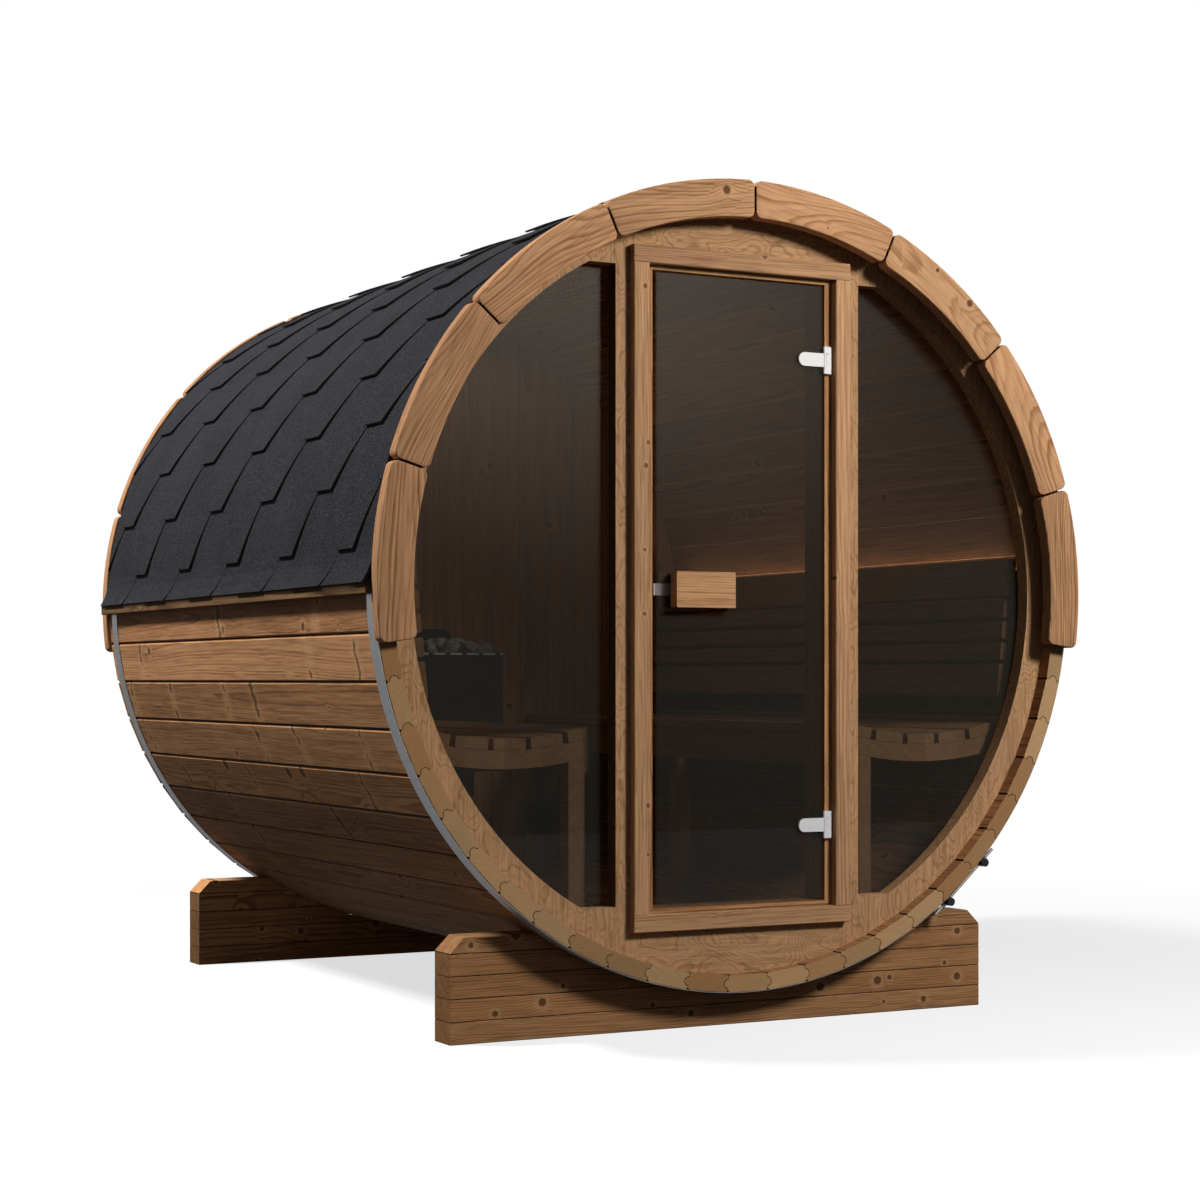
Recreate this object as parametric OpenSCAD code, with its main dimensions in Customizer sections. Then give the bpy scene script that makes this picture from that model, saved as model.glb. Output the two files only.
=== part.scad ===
// Barrel sauna: a round cabin of wooden staves held by two steel hoops on a pair of cradles,
// with glazed front wall, swinging glass door, shingled roof, benches and a wall-hung stove.
// Millimetres. X to the right of the door, Y into the barrel, Z up, origin on the ground.

/* [Barrel] */
// Length of the staves
stave_len = 2141; // [1900:1:2500]
// Radius from the barrel axis to the outer flats of the staves
barrel_r = 1017; // [1000:1:1080]
// Thickness of a stave
stave_t = 43; // [38:0.5:48]
// Number of staves around the barrel
stave_count = 54; // [42:12:66]
// Radius of the bead along one edge of each stave
bead_r = 11; // [8:0.5:13]
// Clearance round a bead in its cove
cove_gap = 1.2; // [0.5:0.1:2]
// Width of the chamfer along the outer edges of a stave
outer_chamfer = 6; // [3:0.5:8]
// Width of the chamfer along the inner edges of a stave
inner_chamfer = 3; // [1:0.5:5]
// Height of the underside of the barrel above the ground
ground_gap = 95; // [70:1:130]

/* [Cradles] */
// Length of a cradle across the barrel
cradle_len = 1574; // [1450:1:1700]
// Thickness of a cradle along the barrel
cradle_t = 90; // [60:1:120]
// Distance from the end of the staves to a cradle
cradle_inset = 88; // [80:1:200]
// Height of each of the four lower cradle boards
cradle_board_h = 55; // [45:1:65]
// Height of the top cradle board
cradle_top_h = 40; // [30:1:60]
// Cut on the upper ends of a cradle
cradle_snipe = 38; // [10:1:39]
// Chamfer along the edges of a cradle board
board_chamfer = 2; // [0.5:0.5:4]

/* [Hoops] */
// Width of a hoop
hoop_w = 50; // [30:1:60]
// Thickness of a hoop
hoop_t = 1.6; // [1:0.1:3]
// Distance from the front end of the staves to the front hoop
hoop_front_inset = 2; // [1:1:20]
// Distance from the rear end of the staves to the rear hoop
hoop_rear_inset = 30; // [1:1:36]
// Radius of a tension rod
rod_r = 4; // [3:0.5:5]
// Length of a tension rod
rod_len = 252; // [220:1:300]
// Angle of a tension rod from the bottom of the barrel
rod_angle = 42; // [35:0.1:60]
// Radius of a hoop lug
lug_r = 11; // [9:0.5:14]
// Width of a hoop lug
lug_w = 44; // [25:1:49]
// Height of a hoop lug above its hoop
lug_stand = 6; // [3:1:12]
// Distance of a hoop lug from the middle of its rod
lug_reach = 75; // [60:1:95]
// Width across the flats of a rod nut
nut_flats = 13; // [11:1:17]

/* [End walls] */
// Thickness of an end wall
wall_t = 40; // [30:1:50]
// Distance from the end of the staves to an end wall
wall_inset = 38; // [30:1:60]
// Depth of the groove in the staves that holds an end wall
croze_depth = 8; // [4:1:12]
// Width of the front wall left outside the windows
window_ring = 61; // [40:1:90]
// Width of the front wall between door trim and window
window_post = 40; // [20:1:60]
// Depth of the top of the windows below the highest line inside the barrel
window_top_set = 171; // [155:1:350]
// Height of the bottom of the windows above the lowest line inside the barrel
window_low_set = 182; // [155:1:350]
// Thickness of the window glass
window_glass_t = 8; // [4:1:12]
// Lap of the window glass behind the wall
window_lap = 16; // [8:1:25]
// Width of a rear wall board
rear_board_w = 105; // [80:1:140]
// Depth of the grooves between rear wall boards
rear_groove = 4; // [2:0.5:6]

/* [Doorway] */
// Width of the door glass
door_w = 492; // [440:1:560]
// Depth of the door head below the highest line inside the barrel
head_set = 178; // [170:1:260]
// Height of the threshold top above the lowest line inside the barrel
sill_set = 173; // [160:1:240]
// Gap beside the door glass
door_side_gap = 10; // [7:0.5:14]
// Gap above and below the door glass
door_end_gap = 6; // [5:0.5:10]
// Thickness of the door glass
door_glass_t = 8; // [6:1:10]
// Distance that the door glass stands in front of the jambs
door_proud = 4; // [2:0.5:6]
// Width of a jamb
jamb_w = 44; // [30:1:60]
// Depth of a jamb
jamb_d = 94; // [50:1:96]
// Width of the door trim
trim_w = 44; // [30:1:60]
// Thickness of the door trim
trim_t = 24; // [15:1:34]
// Part of a jamb that shows inside the trim
trim_reveal = 20; // [12:1:26]
// Part of the head and threshold that shows inside the trim
trim_head_reveal = 12; // [8:1:20]

/* [Hinges and handle] */
// Distance of each hinge from the end of the door
hinge_end = 191; // [110:1:340]
// Length of a hinge arm on the glass
arm_len = 75; // [50:1:100]
// Height of a hinge arm
arm_h = 35; // [28:1:50]
// Thickness of a hinge arm plate
arm_t = 6; // [4:0.5:8]
// Width of the clamp plate behind the glass
clamp_w = 24; // [18:1:40]
// Height of a hinge leaf on the jamb
leaf_h = 70; // [62:1:110]
// Width of a hinge leaf on the jamb
leaf_w = 14; // [10:1:18]
// Thickness of a hinge leaf
leaf_t = 10; // [9:0.5:12]
// Radius of a hinge pin
pin_r = 2.5; // [2:0.1:3]
// Width of a handle block
handle_w = 171; // [120:1:220]
// Height of a handle block
handle_h = 90; // [60:1:120]
// Thickness of a handle block
handle_t = 32; // [20:1:40]
// Distance from the door edge to the outer handle block
handle_inset = 40; // [20:1:80]
// Distance that the inner handle block lies nearer the door edge
handle_shift = 27; // [10:1:38]
// Height of the catch plate
catch_h = 30; // [20:1:50]
// Thickness of the catch plate
catch_t = 2.5; // [1.5:0.5:4]
// Distance that the catch plate stands out past the glass
catch_reach = 4; // [2:0.5:5]

/* [Arch trim] */
// Distance that the arch boards stand out past the flats of the staves
arch_lip = 13; // [8:1:30]
// Width of the arch boards
arch_w = 95; // [75:1:120]
// Thickness of the arch boards
arch_t = 38; // [25:1:50]
// Number of arch boards on each side
arch_count = 4; // [3:1:6]
// Angle from the top to the lower end of the arch
arch_span = 98.2; // [94:0.1:110]
// Gap between arch boards
arch_gap = 4.5; // [2:0.5:8]
// Corner radius of the arch boards
arch_corner_r = 13; // [6:1:20]
// Chamfer along the curved edges of the arch boards
arch_chamfer = 3; // [1:0.5:5]

/* [Roof] */
// Thickness of the roof covering
roof_t = 5; // [3:0.5:8]
// Height over which the roof covering bends out to the eave lath
flare_h = 85; // [40:1:150]
// Height of the eave lath
eave_h = 33; // [20:1:50]
// Thickness of the eave lath
eave_t = 25; // [15:1:40]
// Height of the top of the eave lath above the barrel axis
eave_rise = 6; // [0:1:20]

/* [Benches] */
// Depth of the lowest line of a seat below the barrel axis
bench_drop = 373; // [330:1:420]
// Radius of the hollow in a seat
seat_r = 927; // [700:1:1400]
// Share of the width between the backs of the seats that is left clear as an aisle
aisle_share = 0.45; // [0.4:0.01:0.5]
// Width of the front seat slat
front_slat_w = 71; // [50:1:90]
// Gap between seat slats
slat_gap = 12.5; // [6:0.5:20]
// Number of full seat slats
slat_count = 4; // [3:1:4]
// Thickness of a slat
slat_t = 28; // [20:1:36]
// Gap between the seat and the barrel
bench_wall_gap = 40; // [25:1:80]
// Gap between the front wall and the benches
bench_front_gap = 36; // [30:1:80]
// Height of a seat bearer
bearer_h = 46; // [30:1:70]
// Thickness of a seat bearer
bearer_t = 30; // [20:1:45]
// Height of the seat fascia
fascia_h = 88; // [50:1:120]
// Thickness of the seat fascia
fascia_t = 20; // [15:1:30]
// Side of a bench post
post_w = 45; // [35:1:60]

/* [Backrests] */
// Depth of the bottom of a backrest below the barrel axis
back_drop = 275; // [230:1:290]
// Distance from the barrel to the middle of the lowest slat of the right backrest
back_right_set = 91; // [85:1:140]
// Distance from the barrel to the middle of the lowest slat of the left backrest
back_left_set = 127; // [85:1:140]
// Lean of a backrest in degrees
back_lean = 5.6; // [3:0.1:8]
// Height of the top backrest slat
back_top_h = 104; // [80:1:120]
// Height of each of the three middle backrest slats
back_mid_h = 47; // [40:1:60]
// Height of the bottom backrest slat
back_low_h = 90; // [70:1:110]
// Gap between backrest slats
back_gap = 11.5; // [5:0.5:15]
// Width of a backrest batten
batten_w = 45; // [30:1:60]

/* [Stove and vent] */
// Width of the stove
stove_w = 410; // [350:1:460]
// Depth of the stove
stove_d = 206; // [160:1:260]
// Height of the stove casing
stove_h = 383; // [300:1:450]
// Depth of the top of the stove casing below the barrel axis
stove_drop = 142; // [100:1:200]
// Height of the connection box under the stove
stove_box_h = 80; // [40:1:120]
// Height of the back plate above the stove casing
stove_back_h = 80; // [40:1:120]
// Distance that the back plate stands in from the sides of the stove
stove_back_set = 36; // [10:1:60]
// Thickness of the stove casing
stove_wall = 12; // [6:1:20]
// Depth of the stone basket
stone_depth = 110; // [60:1:200]
// Height of the stones above the casing
stone_rise = 40; // [20:1:60]
// Radius of the vent grille
vent_r = 60; // [45:1:80]
// Distance from the inside of the barrel to the middle of the vent
vent_set = 151.5; // [130:0.5:300]
// Angle of the vent from the bottom of the barrel
vent_angle = 33; // [20:1:50]
// Thickness of the vent grille
vent_t = 12; // [8:1:20]
// Width of the rim of the vent grille
vent_rim = 9; // [6:1:14]
// Number of louvres in the vent grille
louvre_count = 6; // [4:1:8]
// Thickness of the damper disc that closes the vent
damper_t = 6; // [3:1:10]

/* [Hidden] */
$fn = 120;

// Clearance between seated pieces, and overrun of every cut
fit = 0.3;
over = 5;

// Colours
board_color = "#9c6b45";
pale_color = "#b98a5e";
panel_color = "#a5784e";
shingle_color = "#3c3d40";
steel_color = "#a9adb2";
glass_color = "#4a3d33";
stove_color = "#2b2b2d";
stone_color = "#5a5856";

// Barrel
axis_z = ground_gap + barrel_r;
inner_r = barrel_r - stave_t;
half_pitch = 180 / stave_count;
stave_reach = norm([barrel_r, barrel_r * tan(half_pitch) - outer_chamfer]);
front_y = -stave_len / 2;
wall_y = front_y + wall_inset;
wall_r = inner_r + croze_depth - fit;
cabin_y = wall_y + wall_t;
cabin_len = stave_len - 2 * (wall_inset + wall_t);
rear_wall_y = -wall_y - wall_t;

// Hoops
hoop_r = stave_reach + fit;
hoop_top_r = hoop_r + hoop_t;
lug_centre_r = hoop_top_r + lug_stand + lug_r;
lug_angle = asin(lug_reach / lug_centre_r);
rod_x = lug_centre_r * cos(lug_angle);
nut_h = rod_r * 1.6;

// Doorway, heights measured from the barrel axis
jamb_x = door_w / 2 + door_side_gap;
rough_x = jamb_x + jamb_w;
sill_z = sill_set - inner_r;
head_z = inner_r - head_set;
doorway_h = head_z - sill_z;
rough_low = sill_z - jamb_w;
rough_high = head_z + jamb_w;
trim_x = jamb_x + trim_reveal;
trim_low = sill_z - trim_head_reveal;
trim_high = head_z + trim_head_reveal;
window_x = trim_x + trim_w + window_post;
window_r = inner_r - window_ring;
window_rise = inner_r - window_top_set;
window_drop = inner_r - window_low_set;

// Door
door_z = sill_z + door_end_gap;
door_h = doorway_h - 2 * door_end_gap;
door_mid_z = door_z + door_h / 2;
door_y = wall_y - door_proud;
door_back_y = door_y + door_glass_t;
hinge_reach = door_h / 2 - hinge_end;
pin_x = door_w / 2 + door_side_gap / 2;
pin_y = door_y - door_proud;
knuckle_r = door_side_gap / 2 - fit;

// Roof
roof_r = hoop_top_r + fit;
roof_steps = 72;
eave_x = stave_reach + 2 * fit + eave_t;
flare_angle = flare_h / roof_r * 180 / PI;
arch_r = barrel_r + arch_lip;
arch_inner_r = arch_r - arch_w;
arch_pitch = arch_span / arch_count;
arch_gap_angle = arch_gap / arch_r * 180 / PI;
corner_steps = 5;

// Benches
bench_x = sqrt(inner_r * inner_r - bench_drop * bench_drop) - bench_wall_gap;
bench_inner_x = bench_x * aisle_share;
slat_pitch = (bench_x - bench_inner_x - front_slat_w) / slat_count;
slat_w = slat_pitch - slat_gap;
seat_x = (bench_x + bench_inner_x) / 2;
seat_z = seat_r - bench_drop;
slat_chamfer = slat_t / 9;
slat_reach = norm([seat_r + slat_t, max(slat_w, front_slat_w) / 2]) + fit;
bearer_reach = slat_reach + bearer_h;
bench_y = cabin_y + bench_front_gap;
bench_end_y = cabin_y + cabin_len - fit;
bench_len = bench_end_y - bench_y;
bearer_x = bench_inner_x + fascia_t + fit;
bearer_y = [bench_y + fit, bench_y + bench_len / 2 - bearer_t / 2, bench_end_y - bearer_t];

// Backrests
back_heights = [back_low_h, back_mid_h, back_mid_h, back_mid_h, back_top_h];

// Vent
vent_x = (inner_r - vent_set) * sin(vent_angle);
vent_drop = (inner_r - vent_set) * cos(vent_angle);

function polar(r, a) = [r * sin(a), r * cos(a)];
function sum_to(list, n) = n == 0 ? 0 : list[n - 1] + sum_to(list, n - 1);

// Rectangle from the origin with its four corners cut at 45 degrees
module chamfered(w, h, c) {
  polygon([[c, 0], [w - c, 0], [w, c], [w, h - c], [w - c, h], [c, h], [0, h - c], [0, c]]);
}

// Outline in the plane of the front, about the barrel axis, drawn out along the barrel
module along_y(y, len) {
  translate([0, y + len, axis_z]) rotate([90, 0, 0]) linear_extrude(len) children();
}

// Section of radius and Y swept about the barrel axis from angle a0, clockwise from the top
module swept(a0, a) {
  translate([0, 0, axis_z]) rotate([-90, 0, 0]) rotate(a0 - 90) rotate_extrude(angle = a) children();
}

module both_sides() {
  children();
  mirror([1, 0, 0]) children();
}

// Cradles
module cradle_row(z, h) {
  translate([-cradle_len / 2, front_y + cradle_inset, z]) rotate([90, 0, 90])
    linear_extrude(cradle_len) chamfered(cradle_t, h - fit, board_chamfer);
}

module cradle() {
  top_z = 4 * cradle_board_h;
  color(board_color) difference() {
    union() {
      for (k = [0:3]) cradle_row(k * cradle_board_h, cradle_board_h);
      cradle_row(top_z, cradle_top_h);
    }
    along_y(front_y + cradle_inset - over, cradle_t + 2 * over) circle(r = stave_reach + fit);
    both_sides() translate([cradle_len / 2, front_y, top_z + cradle_top_h - fit]) rotate([0, 45, 0])
      cube([cradle_snipe * sqrt(2), stave_len, cradle_snipe * sqrt(2)], center = true);
  }
}

module cradle_front() cradle();
module cradle_rear() mirror([0, 1, 0]) cradle();

// Staves with a bead on the upper edge and a cove on the lower one, alike on both sides of the barrel
module stave_profile(turn) {
  mid = barrel_r - stave_t / 2;
  bead_left = turn > -half_pitch && turn < 180 - half_pitch;
  bead_right = turn < half_pitch && turn > half_pitch - 180;
  function edge(y) = y * tan(half_pitch) - fit / 2;
  right = [
    [edge(inner_r) - inner_chamfer, inner_r],
    [edge(inner_r + inner_chamfer), inner_r + inner_chamfer],
    [edge(barrel_r - outer_chamfer), barrel_r - outer_chamfer],
    [edge(barrel_r) - outer_chamfer, barrel_r]
  ];
  left = [for (k = [3:-1:0]) [-right[k].x, right[k].y]];
  difference() {
    union() {
      polygon(concat(right, left));
      if (bead_left) translate([-mid * tan(half_pitch), mid]) circle(r = bead_r);
      if (bead_right) translate([mid * tan(half_pitch), mid]) circle(r = bead_r);
    }
    if (!bead_left) translate([-mid * tan(half_pitch), mid]) circle(r = bead_r + cove_gap);
    if (!bead_right) translate([mid * tan(half_pitch), mid]) circle(r = bead_r + cove_gap);
  }
}

module croze(y) {
  swept(0, 360) translate([inner_r - over, y - fit])
    square([croze_depth + over, wall_t + 2 * fit]);
}

module staves(group) {
  per_group = stave_count / 6;
  color(board_color) difference() {
    for (k = [0:per_group - 1]) {
      turn = group * 60 + (2 * k - per_group + 1) * half_pitch;
      along_y(front_y, stave_len) rotate(180 + turn) stave_profile(turn);
    }
    croze(wall_y);
    croze(rear_wall_y);
  }
}

module staves_bottom() staves(0);
module staves_lower_right() staves(1);
module staves_upper_right() staves(2);
module staves_top() staves(3);
module staves_upper_left() staves(-2);
module staves_lower_left() staves(-1);

// Hoops with two lugs, open between them where the tension rod draws the ends together
module below_axis(y, a) {
  translate([0, y + hoop_w / 2, axis_z]) rotate([0, -a, 0]) children();
}

module rod_place(y) {
  below_axis(y, rod_angle) translate([0, 0, -rod_x]) children();
}

module hoop(y) {
  color(steel_color) difference() {
    union() {
      swept(180 - rod_angle + lug_angle, 360 - 2 * lug_angle) translate([hoop_r, y]) square([hoop_t, hoop_w]);
      for (side = [-1, 1]) below_axis(y, rod_angle + side * lug_angle) translate([0, 0, -lug_centre_r]) {
        rotate([90, 0, 0]) cylinder(r = lug_r, h = lug_w, center = true);
        translate([-lug_r / 2, -lug_w / 2, 0]) cube([lug_r, lug_w, lug_centre_r - hoop_r - hoop_t / 2]);
      }
    }
    rod_place(y) rotate([0, 90, 0]) cylinder(r = rod_r + fit, h = rod_len, center = true);
  }
}

module hoop_front() hoop(front_y + hoop_front_inset);
module hoop_rear() hoop(-front_y - hoop_rear_inset - hoop_w);

module tension_rod(y) {
  nut_r = nut_flats / 2 / cos(30);
  rod_place(y) {
    rotate([0, 90, 0]) cylinder(r = rod_r, h = rod_len, center = true);
    both_sides() translate([lug_reach + lug_r + fit, 0, 0]) rotate([0, 90, 0])
      cylinder(r = nut_r, h = nut_h, $fn = 6);
  }
}

module tension_rods() color(steel_color) {
  tension_rod(front_y + hoop_front_inset);
  tension_rod(-front_y - hoop_rear_inset - hoop_w);
}

// Front wall: two glazed sides, and pieces above and below the doorway
module window_outline(grow) {
  intersection() {
    circle(r = window_r + grow);
    translate([window_x - grow, -window_drop - grow])
      square([window_r + 2 * grow, window_rise + window_drop + 2 * grow]);
  }
}

module front_wall_side() {
  color(panel_color) along_y(wall_y, wall_t) difference() {
    intersection() {
      circle(r = wall_r);
      translate([rough_x + fit, -wall_r - over]) square([wall_r, 2 * (wall_r + over)]);
    }
    window_outline(0);
  }
}

module front_wall_piece(z, h) {
  color(panel_color) along_y(wall_y, wall_t) intersection() {
    circle(r = wall_r);
    translate([-rough_x, z]) square([2 * rough_x, h]);
  }
}

module front_wall_left() mirror([1, 0, 0]) front_wall_side();
module front_wall_right() front_wall_side();
module front_wall_top() front_wall_piece(rough_high + fit, wall_r);
module front_wall_bottom() front_wall_piece(rough_low - fit - wall_r, wall_r);

module window_pane() color(glass_color, 0.6) along_y(cabin_y + fit, window_glass_t) window_outline(window_lap);
module window_left() mirror([1, 0, 0]) window_pane();
module window_right() window_pane();

// Door frame
module door_jambs() {
  color(board_color) both_sides() along_y(wall_y, jamb_d)
    translate([jamb_x, sill_z + fit]) square([jamb_w, doorway_h - 2 * fit]);
}

module door_head() {
  color(board_color) along_y(wall_y, jamb_d) translate([-rough_x, head_z]) square([2 * rough_x, jamb_w]);
}

module door_threshold() {
  color(board_color) along_y(wall_y, jamb_d) translate([-rough_x, rough_low]) square([2 * rough_x, jamb_w]);
}

module door_trim_rail(z) {
  translate([-trim_x - trim_w, wall_y - trim_t, axis_z + z]) rotate([90, 0, 90])
    linear_extrude(2 * (trim_x + trim_w)) chamfered(trim_t, trim_w, board_chamfer);
}

module door_trim() {
  color(pale_color) {
    both_sides() translate([trim_x, wall_y - trim_t, axis_z + trim_low + fit])
      linear_extrude(trim_high - trim_low - 2 * fit) chamfered(trim_w, trim_t, board_chamfer);
    door_trim_rail(trim_high);
    door_trim_rail(trim_low - trim_w);
  }
}

// Rear wall of upright boards, with a vent through it
module rear_groove_at(x) {
  depth = rear_groove + over;
  translate([x, rear_wall_y, axis_z - wall_r]) linear_extrude(2 * wall_r) {
    polygon([[-depth, -over], [depth, -over], [0, rear_groove]]);
    translate([0, wall_t]) polygon([[-depth, over], [depth, over], [0, -rear_groove]]);
  }
}

module rear_wall() {
  grooves = ceil(wall_r / rear_board_w - 0.5);
  color(board_color) difference() {
    along_y(rear_wall_y, wall_t) circle(r = wall_r);
    for (k = [-grooves:grooves - 1]) rear_groove_at((k + 0.5) * rear_board_w);
    along_y(rear_wall_y - over, wall_t + 2 * over) translate([vent_x, -vent_drop]) circle(r = vent_r - vent_rim);
  }
}

module vent_grille(y) {
  opening_r = vent_r - vent_rim;
  louvre_pitch = 2 * opening_r / louvre_count;
  louvre_h = louvre_pitch / 2;
  along_y(y, vent_t) translate([vent_x, -vent_drop]) {
    difference() {
      circle(r = vent_r);
      circle(r = opening_r);
    }
    intersection() {
      circle(r = (vent_r + opening_r) / 2);
      for (k = [0:louvre_count - 1])
        translate([-vent_r, -opening_r + (k + 0.5) * louvre_pitch - louvre_h / 2]) square([2 * vent_r, louvre_h]);
    }
  }
}

module vent_grilles() color(stove_color) {
  vent_grille(rear_wall_y - vent_t);
  vent_grille(rear_wall_y + wall_t);
  along_y(rear_wall_y + (wall_t - damper_t) / 2, damper_t) translate([vent_x, -vent_drop])
    circle(r = vent_r - vent_rim - fit);
}

// Arch boards on the ends of the staves
module arch_corner(edge_a, inward, arc_r, side) {
  centre_r = arc_r - side * arch_corner_r;
  turn = inward * asin(arch_corner_r / centre_r);
  centre = polar(centre_r, edge_a + turn);
  function way(share) = polar(side, edge_a + turn - inward * side * 90 * share);
  quarter = [for (k = [0:corner_steps - 1]) centre + arch_corner_r * way((k + 0.5) / corner_steps)];
  run_out = arch_corner_r / 2;
  polygon(concat(
    [quarter[0] - run_out * way(1 + 0.5 / corner_steps)], quarter,
    [quarter[corner_steps - 1] - run_out * way(-0.5 / corner_steps), centre + 2 * arch_corner_r * (way(0) + way(1))]
  ));
}

module arch_board(a0, a1) {
  y = front_y - arch_t;
  difference() {
    swept(a0, a1 - a0) translate([arch_inner_r, y]) chamfered(arch_w, arch_t, arch_chamfer);
    along_y(y - over, arch_t + 2 * over) {
      arch_corner(a0, 1, arch_r, 1);
      arch_corner(a1, -1, arch_r, 1);
      arch_corner(a0, 1, arch_inner_r, -1);
      arch_corner(a1, -1, arch_inner_r, -1);
    }
  }
}

module arch() {
  color(pale_color) for (k = [0:arch_count - 1])
    arch_board(k * arch_pitch + arch_gap_angle / 2, (k + 1) * arch_pitch - arch_gap_angle / 2);
}

module front_arch_right() arch();
module front_arch_left() mirror([1, 0, 0]) arch();
module rear_arch_right() mirror([0, 1, 0]) arch();
module rear_arch_left() mirror([0, 1, 0]) mirror([1, 0, 0]) arch();

// Roof covering over the upper half, ending on the eave laths
module roof_half() {
  apex_angle = fit / roof_r * 180 / PI;
  eave_angle = acos((eave_rise + fit) / eave_x);
  angles = [for (k = [0:roof_steps]) apex_angle + (eave_angle - apex_angle) * k / roof_steps];
  function flare(a) = pow(max(0, 1 - (eave_angle - a) / flare_angle), 2) * (eave_x - roof_r);
  under = [for (a = angles) polar(roof_r + flare(a), a)];
  top = [for (k = [roof_steps:-1:0]) polar(roof_r + roof_t + flare(angles[k]), angles[k])];
  color(shingle_color) along_y(front_y + fit, stave_len - 2 * fit) polygon(concat(under, top));
}

module roof_right() roof_half();
module roof_left() mirror([1, 0, 0]) roof_half();

module eave_laths() {
  color(board_color) both_sides() difference() {
    along_y(front_y + fit, stave_len - 2 * fit) translate([stave_reach + fit, eave_rise - eave_h])
      chamfered(eave_t, eave_h, board_chamfer);
    for (y = [front_y + hoop_front_inset, -front_y - hoop_rear_inset - hoop_w])
      along_y(y - fit, hoop_w + 2 * fit) circle(r = hoop_top_r + fit);
  }
}

// Benches with a hollow seat of slats
module seat_slat(x, w) {
  lean = asin((x + w / 2 - seat_x) / seat_r);
  translate([seat_x, seat_z]) rotate(lean) translate([-w / 2, -seat_r - slat_t]) chamfered(w, slat_t, slat_chamfer);
}

module bench_slats() {
  color(board_color) along_y(bench_y, bench_len) {
    for (k = [1:slat_count]) seat_slat(bench_x - k * slat_pitch + slat_gap, slat_w);
    seat_slat(bench_inner_x, front_slat_w);
  }
}

module seat_hollow(r) translate([seat_x, seat_z]) circle(r = r);

module bearer() {
  intersection() {
    circle(r = inner_r - fit);
    difference() {
      seat_hollow(bearer_reach);
      seat_hollow(slat_reach);
    }
    translate([bearer_x, -inner_r]) square([inner_r, inner_r - bench_drop / 2]);
  }
}

module post() {
  difference() {
    intersection() {
      circle(r = inner_r - fit);
      translate([bearer_x, -inner_r]) square([post_w, inner_r - bench_drop]);
    }
    seat_hollow(bearer_reach + fit);
  }
}

module fascia() {
  difference() {
    translate([bench_inner_x, -bench_drop - fascia_h]) square([fascia_t, fascia_h + slat_t]);
    seat_hollow(slat_reach);
  }
}

module bench_frame() {
  color(board_color) {
    for (y = bearer_y) along_y(y, bearer_t) bearer();
    for (k = [0:1]) along_y(bearer_y[k], post_w) post();
    along_y(bench_y, bench_len) fascia();
  }
}

module bench_right_slats() bench_slats();
module bench_left_slats() mirror([1, 0, 0]) bench_slats();
module bench_right_frame() bench_frame();
module bench_left_frame() mirror([1, 0, 0]) bench_frame();

// Backrests of leaning slats on battens that follow the barrel
module leaning(set) translate([inner_r - set, -back_drop]) rotate(-back_lean) children();

module backrest(set) {
  color(board_color) along_y(bench_y, bench_len) leaning(set)
    for (k = [0:len(back_heights) - 1])
      translate([-slat_t / 2, sum_to(back_heights, k) + k * back_gap]) chamfered(slat_t, back_heights[k], slat_chamfer);
}

module batten(set) {
  batten_h = sum_to(back_heights, len(back_heights)) + 4 * back_gap - back_top_h / 2;
  intersection() {
    circle(r = inner_r - fit);
    leaning(set) translate([slat_t / 2 + fit, back_low_h / 4]) square([set, batten_h]);
  }
}

module backrest_right() backrest(back_right_set);
module backrest_left() mirror([1, 0, 0]) backrest(back_left_set);
module backrest_battens() {
  batten_end_y = bench_end_y - batten_w;
  color(board_color) for (y = [bench_y, (bench_y + batten_end_y) / 2, batten_end_y]) along_y(y, batten_w) {
    batten(back_right_set);
    mirror([1, 0, 0]) batten(back_left_set);
  }
}

// Stove hung on the rear wall, with an open basket of stones
module stove() {
  back_y = rear_wall_y - stove_wall;
  back_w = stove_w - 2 * stove_back_set;
  color(stove_color) {
    difference() {
      along_y(rear_wall_y - stove_d, stove_d) {
        translate([-stove_w / 2, -stove_drop - stove_h]) square([stove_w, stove_h]);
        translate([-stove_w / 4, -stove_drop - stove_h - stove_box_h]) square([stove_w / 2, stove_box_h + over]);
      }
      along_y(rear_wall_y - stove_d + stove_wall, stove_d - 2 * stove_wall)
        translate([-stove_w / 2 + stove_wall, -stove_drop - stone_depth])
          square([stove_w - 2 * stove_wall, stone_depth + over]);
    }
    along_y(back_y, stove_wall) polygon([
      [-back_w / 2, -stove_drop], [back_w / 2, -stove_drop],
      [back_w / 2 - stove_back_h, -stove_drop + stove_back_h],
      [-back_w / 2 + stove_back_h, -stove_drop + stove_back_h]
    ]);
  }
}

module stove_stones() {
  basket_w = stove_w - 2 * (stove_wall + fit);
  basket_d = stove_d - 2 * (stove_wall + fit);
  cap_r = (basket_w * basket_w / 4 + stone_rise * stone_rise) / 2 / stone_rise;
  color(stone_color) along_y(rear_wall_y - stove_wall - fit - basket_d, basket_d)
    translate([0, -stove_drop]) intersection() {
      translate([-basket_w / 2, -stone_depth + fit]) square([basket_w, stone_depth + stone_rise]);
      translate([0, stone_rise - cap_r]) circle(r = cap_r);
    }
}

// Door hinges: leaves with pins on the jamb, and arms that clamp the glass
module at_hinges() {
  for (side = [-1, 1]) translate([pin_x, 0, axis_z + door_mid_z + side * hinge_reach]) children();
}

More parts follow.
